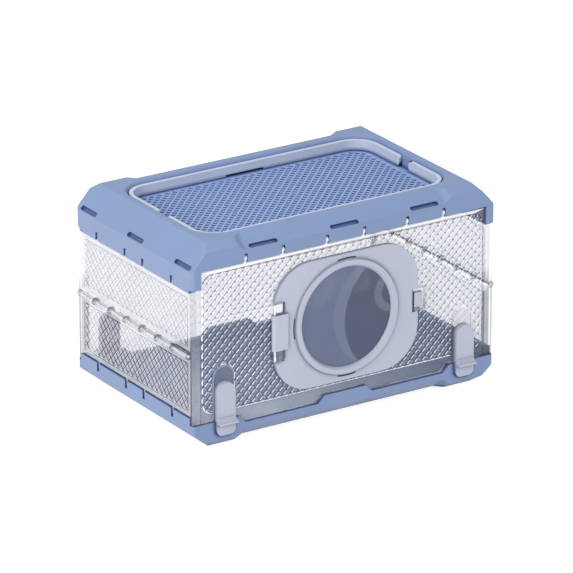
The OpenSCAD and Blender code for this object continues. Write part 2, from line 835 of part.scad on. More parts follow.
module front_wall() {
    open_w = door_w - 2 * door_lap;
    open_h = door_h - 2 * door_lap;
    lug_z = barrel_h / 2 + side_gap;
    tip_x = door_w / 2;
    catch_h = tongue_h + 2 * slit_w - 2 * door_gap;
    catch_t = door_t;
    color(clear)
    difference() {
        union() {
            long_wall_body();
            // A flat land round the door opening
            front_sheet(wall_in_y, wall_y)
                translate([0, door_z]) rounded(door_w, door_h, door_r);
            // Lugs above and below the door's barrel
            for (s = [-1, 1])
                front_sheet(wall_in_y, door_axis_y + barrel_r)
                    translate([-door_axis_x + (door_lug_w - barrel_r) / 2,
                               door_z + s * (lug_z + door_lug_h / 2)])
                        rounded(door_lug_w + barrel_r, door_lug_h, door_lug_r);
            // The catch round the spring tongue
            difference() {
                translate([tip_x - tongue_in + groove_w + door_gap, -door_out_y, door_z - catch_h / 2])
                    cube([tongue_in + tongue_out - groove_w + catch_t, door_out_y - wall_in_y, catch_h]);
                translate([0, -door_out_y - over, door_z - tongue_h / 2 - door_gap])
                    cube([tip_x + tongue_out + door_gap, door_out_y - wall_y + over,
                          tongue_h + 2 * door_gap]);
            }
        }
        front_sheet(wall_in_y - over, wall_y + over)
            translate([0, door_z]) rounded(open_w, open_h, door_r - door_lap);
        // The small window beside the barrel
        translate([-door_axis_x - barrel_r - side_gap - core_w, -wall_y - over, door_z - core_h / 2])
            cube([core_w, wall_t + 2 * over, core_h]);
        translate([-door_axis_x, -door_axis_y, door_z])
            cylinder(r = bore_r, h = 2 * lug_z + 2 * door_lug_h + over, center = true);
    }
}

module back_wall() {
    color(clear) mirror([0, 1, 0]) long_wall_body();
}

// A latch at the front, in the middle of the width
module latch() {
    y_in = latch_in_y;
    neck_z = latch_z + latch_h / 2;
    keeper_y = wall_in_y - latch_gap - keeper_t;
    ridge_z = latch_z + ridge_up;
    color(lavender) {
        front_sheet(y_in, latch_out_y) translate([0, latch_z]) latch_outline(0, 0);
        difference() {
            translate([-latch_w / 2, -latch_out_y - ridge_out, ridge_z])
                cube([latch_w, ridge_out + latch_gap, ridge_t + ridge_r * 3 / 4]);
            translate([0, -latch_out_y - ridge_r, ridge_z + ridge_t + ridge_r])
                bar_x(ridge_r, latch_w + over);
            translate([-latch_w / 2 - over, -latch_out_y - ridge_r - ridge_out, ridge_z + ridge_t])
                cube([latch_w + 2 * over, ridge_out, ridge_r]);
        }
        translate([-neck_w / 2, -y_in - latch_gap, neck_z])
            cube([neck_w, y_in + latch_gap - keeper_y, neck_h]);
        translate([-neck_w / 2 - keeper_lip, -keeper_y - keeper_t, neck_z])
            cube([neck_w + 2 * keeper_lip, keeper_t, neck_h]);
    }
}

module front_latch_left() {
    translate([-latch_x, 0, 0]) latch();
}

module front_latch_right() {
    translate([latch_x, 0, 0]) latch();
}

module back_latch_left() {
    mirror([0, 1, 0]) translate([-latch_x, 0, 0]) latch();
}

module back_latch_right() {
    mirror([0, 1, 0]) translate([latch_x, 0, 0]) latch();
}

// Short arcs above, beside and below the port, round its axis
module arcs() {
    for (a = [90, 180, 270])
        rotate([0, 0, a - arc_angle / 2])
            rotate_extrude(angle = arc_angle)
                translate([ring_flange_r + arc_w / 2, 0]) square([arc_w, arc_d + over]);
}

module door_plate() {
    hole_r = spigot_r + door_gap;
    tip_x = door_w / 2;
    slit_x = tip_x - tongue_in;
    notch_h = door_lug_h + 2 * side_gap;
    color(lavender)
    difference() {
        union() {
            front_sheet(door_in_y, door_out_y)
                translate([0, door_z]) rounded(door_w, door_h, door_r);
            // The barrel and the raised block that carries it
            translate([-door_axis_x, -door_axis_y, door_z])
                cylinder(r = barrel_r, h = barrel_h, center = true);
            translate([-door_axis_x, -door_axis_y - barrel_r, door_z - barrel_h / 2])
                cube([barrel_w, 2 * barrel_r, barrel_h]);
            // The spring tongue's tip
            translate([tip_x - over, -door_out_y, door_z - tongue_h / 2])
                cube([tongue_out + over, door_t, tongue_h]);
        }
        front_sheet(door_in_y - over, door_out_y + over)
            translate([0, door_z]) circle(hole_r);
        // The slits and the groove that free the tongue
        for (s = [-1, 1])
            translate([slit_x + groove_w, -door_out_y - over,
                       door_z + s * (tongue_h + slit_w) / 2 - slit_w / 2])
                cube([tongue_in + over, door_t + 2 * over, slit_w]);
        translate([slit_x, -door_out_y - over, door_z - tongue_h / 2 - slit_w])
            cube([groove_w, groove_in + over, tongue_h + 2 * slit_w]);
        // Notches round the lugs of the wall
        for (s = [-1, 1])
            translate([-tip_x - over, -door_out_y - over,
                       door_z + s * (barrel_h + notch_h) / 2 - notch_h / 2])
                cube([over + door_axis_in + door_lug_w + 2 * side_gap, door_t + 2 * over, notch_h]);
        // Arcs beside the flange of the port ring
        translate([0, -door_out_y, door_z]) rotate([90, 0, 0]) translate([0, 0, -arc_d]) arcs();
        translate([-door_axis_x, -door_axis_y, door_z])
            cylinder(r = bore_r, h = barrel_h + over, center = true);
    }
}

module door_pin() {
    color(steel)
    translate([-door_axis_x, -door_axis_y, door_z])
        cylinder(r = pin_r, h = barrel_h + 2 * door_lug_h, center = true);
}

module port_ring() {
    lip = door_out_y + ring_flange_t;
    window_r = port_r + groove_d;
    front = door_gap / 2;
    color(lavender)
    translate([0, 0, door_z])
    rotate([90, 0, 0])
    rotate_extrude()
        polygon([[port_r, door_in_y], [spigot_r, door_in_y], [spigot_r, door_out_y + front],
                 [ring_flange_r, door_out_y + front], [ring_flange_r - ring_flange_t / 2, lip],
                 [port_r + ring_flange_t, lip], [port_r, window_y + window_t / 4],
                 [port_r, window_y], [window_r, window_y], [window_r, window_y - window_t],
                 [port_r, window_y - window_t]]);
}

module port_window() {
    fit = pin_fit;
    color(smoke)
    translate([0, 0, door_z])
    rotate([90, 0, 0])
    translate([0, 0, window_y - window_t + fit])
        cylinder(r = port_r + groove_d - fit, h = window_t - 2 * fit);
}

// The back handle, folded down in the well, with its pivot bosses
module handle() {
    difference() {
        union() {
            translate([0, 0, handle_z])
                linear_extrude(height = handle_h)
                    intersection() {
                        difference() {
                            rounded(ring_l, ring_w, ring_r);
                            rounded(ring_l - 2 * handle_t, ring_w - 2 * handle_t, ring_r - handle_t);
                        }
                        translate([-ring_hx, pivot_y]) square([ring_l, ring_hy]);
                    }
            both_x() translate([ring_hx - handle_t / 2, pivot_y, pivot_z]) {
                bar_x(handle_h / 2, handle_t);
                translate([handle_t / 2, 0, 0]) bar_x(boss_d / 2, 2 * (handle_gap + well_t - side_gap));
            }
        }
        translate([-grip_w / 2, ring_hy - handle_t - over, handle_z - over])
            cube([grip_w, handle_t + 2 * over, grip_h + over]);
        // Inner half of each boss is cut flush with the handle
        translate([-ring_hx + handle_t, 0, handle_z])
            cube([ring_l - 2 * handle_t, ring_hy / 2, handle_h]);
    }
}

module back_handle() {
    color(lavender) handle();
}

module front_handle() {
    color(lavender) mirror([0, 1, 0]) handle();
}

base_tray();
base_pins_left();
base_pins_right();
left_lower_panel();
left_upper_panel();
left_middle_pin();
right_lower_panel();
right_upper_panel();
right_middle_pin();
top_frame();
roof_grille();
top_pins_left();
top_pins_right();
front_hinge_pins();
back_hinge_pins();
front_wall();
back_wall();
front_latch_left();
front_latch_right();
back_latch_left();
back_latch_right();
door_plate();
door_pin();
port_ring();
port_window();
front_handle();
back_handle();
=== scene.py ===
import json
import math

import bmesh
import bpy
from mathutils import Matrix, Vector


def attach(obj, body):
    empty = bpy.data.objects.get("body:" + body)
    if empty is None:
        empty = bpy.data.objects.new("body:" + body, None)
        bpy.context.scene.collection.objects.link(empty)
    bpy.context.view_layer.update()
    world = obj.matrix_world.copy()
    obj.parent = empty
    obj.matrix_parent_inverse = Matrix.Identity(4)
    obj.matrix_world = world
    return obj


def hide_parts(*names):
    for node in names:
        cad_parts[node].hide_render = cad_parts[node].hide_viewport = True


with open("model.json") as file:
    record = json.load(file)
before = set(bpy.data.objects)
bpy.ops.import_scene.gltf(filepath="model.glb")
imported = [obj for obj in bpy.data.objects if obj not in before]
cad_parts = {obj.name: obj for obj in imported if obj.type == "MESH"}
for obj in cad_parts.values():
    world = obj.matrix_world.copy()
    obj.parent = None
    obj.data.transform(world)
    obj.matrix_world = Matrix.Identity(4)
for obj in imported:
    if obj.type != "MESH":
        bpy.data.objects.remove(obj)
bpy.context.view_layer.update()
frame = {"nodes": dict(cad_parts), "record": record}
nodes = frame["nodes"]
MM = 0.001
COLLECTION = bpy.context.scene.collection


# Materials: nt is a node tree and b its shader ---------------------------------


def new_material(name):
    m = bpy.data.materials.new(name)
    m.use_nodes = True
    nt = m.node_tree
    return m, nt, nt.nodes["Principled BSDF"]


def noise(nt, scale, detail=2.0):
    tc = nt.nodes.new("ShaderNodeTexCoord")
    n = nt.nodes.new("ShaderNodeTexNoise")
    n.inputs["Scale"].default_value = scale
    n.inputs["Detail"].default_value = detail
    n.inputs["Roughness"].default_value = 0.55
    nt.links.new(tc.outputs["Object"], n.inputs["Vector"])
    return n.outputs["Fac"]


def ramp(nt, source, low, high, start=0.3, end=0.7):
    """A colour that runs from low to high while the source runs from start to end."""
    r = nt.nodes.new("ShaderNodeValToRGB")
    for stop, position, colour in zip(r.color_ramp.elements, (start, end), (low, high)):
        stop.position = position
        stop.color = (*colour, 1.0)
    nt.links.new(source, r.inputs["Fac"])
    return r.outputs["Color"]


def grey(value):
    return (value,) * 3


def shade(c, k):
    return tuple(min(1.0, v * k) for v in c)


def multiply(nt, a, b):
    mix = nt.nodes.new("ShaderNodeMix")
    mix.data_type = "RGBA"
    mix.blend_type = "MULTIPLY"
    mix.inputs["Factor"].default_value = 1.0
    nt.links.new(a, mix.inputs["A"])
    nt.links.new(b, mix.inputs["B"])
    return mix.outputs["Result"]


def painted_shade(nt, reach, shade_colour, start, end):
    """Painted shade: a tint that deepens where the surface lies in a slot, a corner or a closed
    space.
    """
    ao = nt.nodes.new("ShaderNodeAmbientOcclusion")
    ao.samples = 6
    ao.inputs["Distance"].default_value = reach
    return ramp(nt, ao.outputs["AO"], shade_colour, grey(1), start, end)


def ripple(nt, b, scale, strength, depth, normal=None):
    """Unevenness in the surface, on top of the normal where one is given."""
    bump = nt.nodes.new("ShaderNodeBump")
    bump.inputs["Strength"].default_value = strength
    bump.inputs["Distance"].default_value = depth
    nt.links.new(noise(nt, scale), bump.inputs["Height"])
    if normal:
        nt.links.new(normal, bump.inputs["Normal"])
    nt.links.new(bump.outputs["Normal"], b.inputs["Normal"])


SHADED_INSIDE = (0.17, 0.22, 0.38)


def moulded(name, colour, rough=0.42, edge=0.7 * MM, shade_colour=(0.22, 0.28, 0.52)):
    """Satin moulded plastic: soft edges, a fine spark-eroded grain, a faint flow of the colour, and
    painted shade in slots, corners and the closed inside.
    """
    m, nt, b = new_material(name)
    flow = ramp(nt, noise(nt, 18.0), shade(colour, 0.97), shade(colour, 1.03))
    # Painted shade: darker in slots and creases, and across the closed inside of the box.
    slot_shade = painted_shade(nt, 4 * MM, shade_colour, 0.74, 0.97)
    inside = painted_shade(nt, 200 * MM, SHADED_INSIDE, 0.03, 0.25)
    nt.links.new(multiply(nt, multiply(nt, flow, slot_shade), inside), b.inputs["Base Color"])
    gloss = ramp(nt, noise(nt, 60.0, 3.0), grey(rough - 0.04), grey(rough + 0.05))
    nt.links.new(gloss, b.inputs["Roughness"])
    bevel = nt.nodes.new("ShaderNodeBevel")
    bevel.samples = 4
    bevel.inputs["Radius"].default_value = edge
    ripple(nt, b, 1600.0, 0.06, 0.15 * MM, bevel.outputs["Normal"])
    b.inputs["IOR"].default_value = 1.49
    b.inputs["Specular IOR Level"].default_value = 0.45
    return m


def clear_plastic(name, colour, see):
    """Clear plastic that bends light, weakened to the share that a cut edge shows."""
    m, nt, b = new_material(name)
    b.inputs["Transmission Weight"].default_value = 1.0
    b.inputs["Alpha"].default_value = see
    b.inputs["IOR"].default_value = 1.4
    tone = ramp(nt, noise(nt, 25.0), shade(colour, 0.985), shade(colour, 1.01))
    nt.links.new(tone, b.inputs["Base Color"])
    haze = ramp(nt, noise(nt, 140.0, 3.0), grey(0.024), grey(0.06), 0.35)
    nt.links.new(haze, b.inputs["Roughness"])
    ripple(nt, b, 70.0, 0.05, 0.4 * MM)
    return m


def fading(nt, source, slope, start, end, low):
    """Weakens a value along a slope across the face, from its full size down to a share of it."""
    tc = nt.nodes.new("ShaderNodeTexCoord")
    dot = nt.nodes.new("ShaderNodeVectorMath")
    dot.operation = "DOT_PRODUCT"
    dot.inputs[1].default_value = slope
    nt.links.new(tc.outputs["Object"], dot.inputs[0])
    r = nt.nodes.new("ShaderNodeMapRange")
    r.inputs["From Min"].default_value = start * MM
    r.inputs["From Max"].default_value = end * MM
    r.inputs["To Min"].default_value = 1.0
    r.inputs["To Max"].default_value = low
    nt.links.new(dot.outputs["Value"], r.inputs["Value"])
    k = nt.nodes.new("ShaderNodeMath")
    k.operation = "MULTIPLY"
    nt.links.new(source, k.inputs[0])
    nt.links.new(r.outputs["Result"], k.inputs[1])
    return k.outputs["Value"]


def veil(name, colour, alpha, rough=0.3, grain=0.0, fade=None):
    """A thin-walled clear plastic face: what lies behind shows straight through a faint haze."""
    m, nt, b = new_material(name)
    tone = ramp(nt, noise(nt, 30.0), shade(colour, 0.95), shade(colour, 1.05))
    nt.links.new(tone, b.inputs["Base Color"])
    thick = ramp(nt, noise(nt, 45.0, 3.0), grey(alpha * 0.9), grey(min(1.0, alpha * 1.1)))
    nt.links.new(fading(nt, thick, *fade) if fade else thick, b.inputs["Alpha"])
    b.inputs["Roughness"].default_value = rough
    b.inputs["IOR"].default_value = 1.5
    if grain:
        ripple(nt, b, 900.0, grain, 0.2 * MM)
    return m


def disc(nt, x, z, radius):
    """1 inside a circle drawn on the upright front face, 0 outside; sizes in millimetres."""
    soft = 1.2
    tc = nt.nodes.new("ShaderNodeTexCoord")
    flat = nt.nodes.new("ShaderNodeVectorMath")
    flat.operation = "MULTIPLY"
    flat.inputs[1].default_value = (1, 0, 1)
    nt.links.new(tc.outputs["Object"], flat.inputs[0])
    far = nt.nodes.new("ShaderNodeVectorMath")
    far.operation = "DISTANCE"
    far.inputs[1].default_value = (x * MM, 0, z * MM)
    nt.links.new(flat.outputs["Vector"], far.inputs[0])
    r = nt.nodes.new("ShaderNodeMapRange")
    r.interpolation_type = "SMOOTHSTEP"
    r.inputs["From Min"].default_value = (radius - soft) * MM
    r.inputs["From Max"].default_value = (radius + soft) * MM
    r.inputs["To Min"].default_value = 1.0
    r.inputs["To Max"].default_value = 0.0
    nt.links.new(far.outputs["Value"], r.inputs["Value"])
    return r.outputs["Result"]


def less(nt, a, b):
    sub = nt.nodes.new("ShaderNodeMath")
    sub.operation = "SUBTRACT"
    sub.use_clamp = True
    nt.links.new(a, sub.inputs[0])
    nt.links.new(b, sub.inputs[1])
    return sub.outputs["Value"]


def tint(nt, under, over, mask, amount):
    """Lays a colour over another where the mask is, by the amount."""
    k = nt.nodes.new("ShaderNodeMath")
    k.operation = "MULTIPLY"
    k.inputs[1].default_value = amount
    nt.links.new(mask, k.inputs[0])
    mix = nt.nodes.new("ShaderNodeMix")
    mix.data_type = "RGBA"
    nt.links.new(k.outputs["Value"], mix.inputs["Factor"])
    nt.links.new(under, mix.inputs["A"])
    mix.inputs["B"].default_value = (*over, 1)
    return mix.outputs["Result"]


def smoked(name):
    """Smoked clear plastic with painted reflections: a darker disc, a lighter crescent beside it and
    a small painted highlight, as a domed window would throw back.
    """
    m, nt, b = new_material(name)
    colour = ramp(nt, noise(nt, 14.0), (0.108, 0.133, 0.228), (0.136, 0.162, 0.262))
    # Circles of the painted reflections: x and z of the centre, and the radius.
    crescent_circle = disc(nt, 41.4, 94.6, 54.4)
    painted_dark_disc = disc(nt, 59.6, 90.2, 61.1)
    colour = tint(nt, colour, (0.050, 0.061, 0.106), painted_dark_disc, 0.72)
    colour = tint(nt, colour, (0.20, 0.23, 0.30), less(nt, crescent_circle, painted_dark_disc), 0.32)
    # A painted highlight: a thin lighter ring near the top of the window.
    painted_glint = less(nt, disc(nt, 49, 109.7, 19), disc(nt, 51, 109.7, 13))
    colour = tint(nt, colour, (0.26, 0.285, 0.36), painted_glint, 0.32)
    nt.links.new(colour, b.inputs["Base Color"])
    b.inputs["Alpha"].default_value = 0.84
    b.inputs["Specular IOR Level"].default_value = 0.3
    b.inputs["Roughness"].default_value = 0.05
    b.inputs["IOR"].default_value = 1.5
    return m


def wire(name):
    m, nt, b = new_material(name)
    b.inputs["Metallic"].default_value = 1.0
    tone = noise(nt, 300.0)
    nt.links.new(ramp(nt, tone, (0.80, 0.81, 0.83), (0.88, 0.89, 0.91)), b.inputs["Base Color"])
    nt.links.new(ramp(nt, tone, grey(0.40), grey(0.52)), b.inputs["Roughness"])
    return m


BLUE = (0.158, 0.226, 0.385)
LAVENDER = (0.37, 0.40, 0.49)
# Painted light: the lavender made lighter for the handles, which catch more light than the other
# lavender parts.
HANDLE_LIT = (0.43, 0.485, 0.605)
# Colour of the painted shade in the hollows of lavender parts.
LAVENDER_SHADE = (0.42, 0.45, 0.56)
mat_blue = moulded("blue_moulded", BLUE)
mat_lavender = moulded("lavender_moulded", LAVENDER, rough=0.38, shade_colour=LAVENDER_SHADE)
mat_handle_lit = moulded("lavender_handle_painted_light", HANDLE_LIT, rough=0.38, shade_colour=LAVENDER_SHADE)
# Painted light: the grille's blue made lighter on its ribs, with a painted shade colour for its
# holes.
mat_mesh_lit = moulded("blue_mesh_painted_light", shade(BLUE, 1.34), edge=0.3 * MM, shade_colour=(0.36, 0.44, 0.68))
mat_smoke = smoked("smoke_window_painted_reflections")
mat_wire = wire("hinge_wire")

# Clear faces of the four walls: an edge, a pane, and flanks of grooves painted lighter or darker, as
# painted light and painted shade.
NEAR_SHADE = (0.02, 0.025, 0.055)
FAR_SHADE = (0.04, 0.045, 0.08)
EDGE_SHADE = (0.06, 0.07, 0.11)
FAR_HAZE = (0.60, 0.62, 0.68)
SIDE_LIGHT = (0.86, 0.89, 0.97)
SIDE_EDGE = (0.95, 0.96, 0.99)
UPWARDS = ((0.4, 0, 1), -10, 62)    # a direction, and where along it a haze starts and stops to fade

mat_clear = clear_plastic("clear_edges", (0.93, 0.95, 0.99), 0.4)
mat_plain = veil("clear_plain", (0.38, 0.42, 0.52), 0.12, rough=0.12)
mat_end = veil("clear_end_face", EDGE_SHADE, 0.5, rough=0.1, fade=((0, 0, 1), 90, 108, 0.15))
mat_frame = veil("clear_frame", (0.60, 0.63, 0.74), 0.36, rough=0.15, grain=0.1, fade=(*UPWARDS, 0.2))
mat_tab = veil("clear_tab", (0.90, 0.92, 0.98), 0.72, rough=0.2)
# Painted light on flanks and rims that lean towards the light.
soft = veil("groove_soft_painted_light", (0.75, 0.80, 0.92), 0.35)
# Painted shade on flanks, crossings and rims that lean away from the light.
dark = veil("groove_painted_shade", NEAR_SHADE, 0.32, rough=0.35)
short_groove = veil("groove_side", EDGE_SHADE, 0.20)

front_pane = veil("clear_pane", (0.42, 0.46, 0.69), 0.23, rough=0.2, fade=(*UPWARDS, 0.7))
front_painted_light = veil("groove_painted_light", (0.88, 0.91, 0.98), 0.82)
front_faint_shade = veil("groove_faint_painted_shade", (0.10, 0.11, 0.16), 0.10, rough=0.25)
front_crossing_shade = veil("groove_crossing_painted_shade", NEAR_SHADE, 0.6, rough=0.35)
front_rim_shade = veil("field_rim_painted_shade", (0.03, 0.035, 0.06), 0.74)

back_pane = veil("clear_back_pane", FAR_HAZE, 0.26, rough=0.2)
back_painted_shade = veil("groove_back_painted_shade", FAR_SHADE, 0.24, rough=0.35)
back_groove = veil("groove_back", (0.42, 0.45, 0.56), 0.13)

left_clear = clear_plastic("clear_side_edges", SIDE_EDGE, 0.22)
left_pane = veil("clear_side_pane", (0.54, 0.56, 0.61), 0.52, rough=0.2)
left_painted_light = veil("groove_side_painted_light", SIDE_LIGHT, 0.75)

right_clear = clear_plastic("clear_right_edges", SIDE_EDGE, 0.12)
right_pane = veil("clear_right_pane", FAR_HAZE, 0.34, rough=0.2)
right_painted_light = veil("groove_right_painted_light", SIDE_LIGHT, 0.5)
right_painted_shade = veil("groove_right_painted_shade", FAR_SHADE, 0.24, rough=0.35)

# A row for each kind of face of a quilted wall, with its material on each of the walls. Where a
# wall's lit and dark rows differ, they are painted light and painted shade.
WALLS = ("front", "back", "left", "right")
QUILT = (
    ("cut edge", mat_clear, mat_clear, left_clear, right_clear),
    ("crown", front_pane, back_pane, left_pane, right_pane),
    ("rising flank, lit", front_painted_light, soft, left_painted_light, right_painted_light),
    ("rising flank, dark", dark, back_painted_shade, dark, right_painted_shade),
    ("falling flank, lit", soft, back_groove, short_groove, short_groove),
    ("falling flank, dark", front_faint_shade, back_groove, short_groove, short_groove),
    ("crossing", front_crossing_shade, back_painted_shade, dark, right_painted_shade),
    ("plain", mat_plain, mat_plain, mat_plain, mat_plain),
    ("end", mat_end, mat_end, mat_end, mat_end),
    ("frame", mat_frame, mat_frame, left_pane, right_pane),
    ("tab", mat_tab, mat_tab, left_clear, right_clear),
    ("rim, dark", front_rim_shade, back_painted_shade, dark, right_painted_shade),
    ("rim, lit", front_painted_light, soft, left_painted_light, right_painted_light),
)
FACET = {row[0]: slot for slot, row in enumerate(QUILT)}

SLOT_MATERIAL = {
    "blue_plastic": mat_blue,
    "lavender_plastic": mat_lavender,
    "clear_plastic": mat_clear,
    "smoke_plastic": mat_smoke,
    "hinge_steel": mat_wire,
}
NODE_SLOT = {s["node"]: s["material_slot"] for s in frame["record"]["subparts"]}


def paint(obj, material):
    obj.data.materials.clear()
    obj.data.materials.append(material)


for name, obj in nodes.items():
    paint(obj, mat_handle_lit if name.endswith("_handle") else SLOT_MATERIAL[NODE_SLOT[name]])


# Mesh helpers ----------------------------------------------------------------


def mesh_object(name, verts, faces):
    me = bpy.data.meshes.new(name)
    me.from_pydata(verts, [], faces)
    me.update()
    o = bpy.data.objects.new(name, me)
    COLLECTION.objects.link(o)
    return o


def welded_copy(node, name):
    """A copy of a CAD node's mesh with its split corners joined again."""
    o = bpy.data.objects.new(name, nodes[node].data.copy())
    COLLECTION.objects.link(o)
    w = o.modifiers.new("weld", "WELD")
    w.merge_threshold = 1e-6
    return applied(o)


def applied(o):
    """Turns an object's modifiers into its mesh."""
    dg = bpy.context.evaluated_depsgraph_get()
    me = bpy.data.meshes.new_from_object(o.evaluated_get(dg), depsgraph=dg)
    o.modifiers.clear()
    old = o.data
    o.data = me
    bpy.data.meshes.remove(old)
    return o


def drop(o):
    me = o.data
    bpy.data.objects.remove(o)
    bpy.data.meshes.remove(me)


def boolean(a, tool, op):
    """Adds, cuts or intersects a mesh with a tool that is used up."""
    m = a.modifiers.new("b", "BOOLEAN")
    m.object = tool
    m.operation = op
    m.solver = "MANIFOLD"
    applied(a)
    drop(tool)


def prism(name, outline, w0, w1, place, top=None):
    """A closed prism from an outline in u and v, between two distances along w; top tapers it."""
    n = len(outline)
    verts = [place(u, v, w0) for u, v in outline] + [place(u, v, w1) for u, v in top or outline]
    walls = [(i, (i + 1) % n, n + (i + 1) % n, n + i) for i in range(n)]
    faces = [tuple(reversed(range(n))), tuple(range(n, 2 * n))] + walls
    o = mesh_object(name, verts, faces)
    fix_normals(o)
    return o


def fix_normals(o):
    bm = bmesh.new()
    bm.from_mesh(o.data)
    bmesh.ops.recalc_face_normals(bm, faces=bm.faces)
    bm.to_mesh(o.data)
    bm.free()


def rounded(cx, cy, w, h, r, steps=12):
    """Outline of a rectangle with round corners."""
    pts = []
    for k, (sx, sy) in enumerate([(1, 1), (-1, 1), (-1, -1), (1, -1)]):
        x, y = cx + sx * (w / 2 - r), cy + sy * (h / 2 - r)
        for i in range(steps + 1):
            a = math.radians(90 * k + 90 * i / steps)
            pts.append((x + r * math.cos(a), y + r * math.sin(a)))
    return pts


def smooth(o, angle):
    """Smooth shading, but for edges that bend by more than the angle in degrees."""
    for p in o.data.polygons:
        p.use_smooth = True
    o.data.set_sharp_from_angle(angle=math.radians(angle))


# Quilted relief: u runs along a wall, v up it and w out of it, in millimetres ----

HALF_U, HALF_V = 4.12, 4.2          # half the width and half the height of a rhombus
WALL_CREASE = 20


def quilt(name, field, levels, place, groove):
    """A closed sheet of raised rhombi with grooves between them, over the field's rectangle.

    Each rhombus is a cell of 3 x 3 faces: a crown in the middle and half grooves round it.
    """
    u0, u1, v0, v1 = field
    sole, floor, crown = levels
    middle = (v0 + v1) / 2
    marks = [[0.0, low, 1.0 - high] for low, high in groove]
    index, verts, faces = {}, [], []

    def vertex(a, b, under):
        key = (a, b, under)
        if key not in index:
            s = a // 3 + marks[0][a % 3]
            t = b // 3 + marks[1][b % 3]
            u = (s + t) * HALF_U + u0
            v = (s - t) * HALF_V + middle
            w = sole if under else (crown if a % 3 and b % 3 else floor)
            index[key] = len(verts)
            verts.append(place(u, v, w))
        return index[key]

    span = int((u1 - u0) / HALF_U + (v1 - v0) / HALF_V) + 4
    cells = set()
    for i in range(-span, span):
        for j in range(-span, span):
            u = (i + j + 1) * HALF_U + u0
            v = (i - j) * HALF_V + middle
            if u0 < u < u1 and v0 < v < v1:
                cells.add((i, j))
    for i, j in sorted(cells):
        a, b = 3 * i, 3 * j
        for p in range(a, a + 3):
            for q in range(b, b + 3):
                ring = [(p, q), (p + 1, q), (p + 1, q + 1), (p, q + 1)]
                faces.append([vertex(x, y, False) for x, y in ring])
                faces.append([vertex(x, y, True) for x, y in reversed(ring)])
        sides = {(i - 1, j): [(a, b + q) for q in range(4)],
                 (i + 1, j): [(a + 3, b + q) for q in range(4)],
                 (i, j - 1): [(a + p, b) for p in range(4)],
                 (i, j + 1): [(a + p, b + 3) for p in range(4)]}
        for other, line in sides.items():
            if other not in cells:
                for c, d in zip(line, line[1:]):
                    faces.append([vertex(*c, False), vertex(*d, False),
                                  vertex(*d, True), vertex(*c, True)])
    o = mesh_object(name, verts, faces)
    fix_normals(o)
    return o


# Parts of a face's normal by which facets() tells the faces apart.
FLAT = 0.985                        # along w: a face in the plane of the wall
SLOPING = 0.5                       # along w: the least of a groove's flank or a rim
RIM_SLOPE = (0.91, 0.955)           # along w: only the tapered rim of a field
RIM_SKEW = 0.2                      # a rim's normal leans along u or v, a flank's along both
RIM_SHADED = 0.15                   # along u or v: a rim that looks to the right or up
ENDING = 0.9                        # along u: the end face of a wall
FOOT_DEPTH = 0.15                   # millimetres below the relief's span at which flanks still start


def facets(o, place, kind, relief, start, groove, tabs=math.inf):
    """Gives each face its row of QUILT, with painted light and painted shade picked by the way it
    leans; relief is the span of levels that the quilt takes up.
    """
    column = 1 + WALLS.index(kind)
    o.data.materials.clear()
    for row in QUILT:
        o.data.materials.append(row[column])
    origin = Vector(place(0, 0, 0))
    axis = [(Vector(place(*v)) - origin).normalized() for v in ((1, 0, 0), (0, 1, 0), (0, 0, 1))]
    size = math.hypot(HALF_U, HALF_V)
    across_rising = Vector((-HALF_V / size, HALF_U / size))
    across_falling = Vector((HALF_V / size, HALF_U / size))
    for face in o.data.polygons:
        u, v, w = (face.normal.dot(a) for a in axis)
        along, height, level = ((face.center - origin).dot(a) / MM for a in axis)
        slant = Vector((u, v))
        a, b = slant.dot(across_rising), slant.dot(across_falling)
        look = None
        if height > tabs:
            look = "tab"
        elif abs(w) > FLAT and (w < 0 or level < relief[0]):
            look = "plain"
        elif abs(w) > FLAT:
            look = "frame" if level > relief[1] else "crown"
        elif SLOPING < w and relief[0] - FOOT_DEPTH < level < relief[1]:
            x, y = (along - start[0]) / HALF_U, (height - start[1]) / HALF_V
            cell = ((x + y) / 2 % 1, (x - y) / 2 % 1)
            straight = min(abs(u), abs(v)) < RIM_SKEW * max(abs(u), abs(v))
            if RIM_SLOPE[0] < w < RIM_SLOPE[1] or straight:
                look = "rim, dark" if max(u, v) > RIM_SHADED else "rim, lit"
            elif all(f < low or f > 1 - high for f, (low, high) in zip(cell, groove)):
                look = "crossing"
            elif abs(a) > abs(b):
                look = "rising flank, lit" if a > 0 else "rising flank, dark"
            else:
                look = "falling flank, lit" if b > 0 else "falling flank, dark"
        elif abs(u) > ENDING:
            look = "end"
        if look:
            face.material_index = FACET[look]


# Long walls. Where two outlines are given, the mask tapers from the first to the second.
WALL_SHEET = (-151, 151, 27, 166)   # the sheet's ends along the wall and its foot and top
WALL_LEVELS = (94.7, 95.02, 95.44)  # the sheet's sole, the floor of its grooves and its crowns
WALL_RELIEF = (95.1, 95.55)         # the levels at which a flat face is a crown
WALL_START = (-151, 96.5)           # where the cells are counted from
WALL_MASK = (94, 96)                # from where to where out of the wall the masks reach
WALL_FIELD = ((0, 97.6, 304, 137.4, 14.8), (0, 97.6, 293, 126.4, 9.3))
DOOR_LAND = ((0, 95.7, 145.5, 113.5, 34.8, 16), (0, 95.7, 156.5, 124.5, 40.3, 16))
LATCH_X = 127
LATCH_WIDTH, LATCH_FOOT, LATCH_TOP = 19, 11.5, 74.3
LATCH_GROW = (-1.4, 4.2)            # how far a latch's land reaches past its track
LATCH_ARC = 12
TAB_FOOT = 164.5


def latch_land(cx, grow):
    """Outline of the flat land round a latch's track."""
    w, z0 = LATCH_WIDTH + 2 * grow, LATCH_FOOT - grow
    pts = [(cx - w / 2, z0), (cx + w / 2, z0)]
    for i in range(LATCH_ARC + 1):
        a = math.pi * i / LATCH_ARC
        pts.append((cx + w / 2 * math.cos(a), LATCH_TOP - w / 2 + grow + w / 2 * math.sin(a)))
    return pts


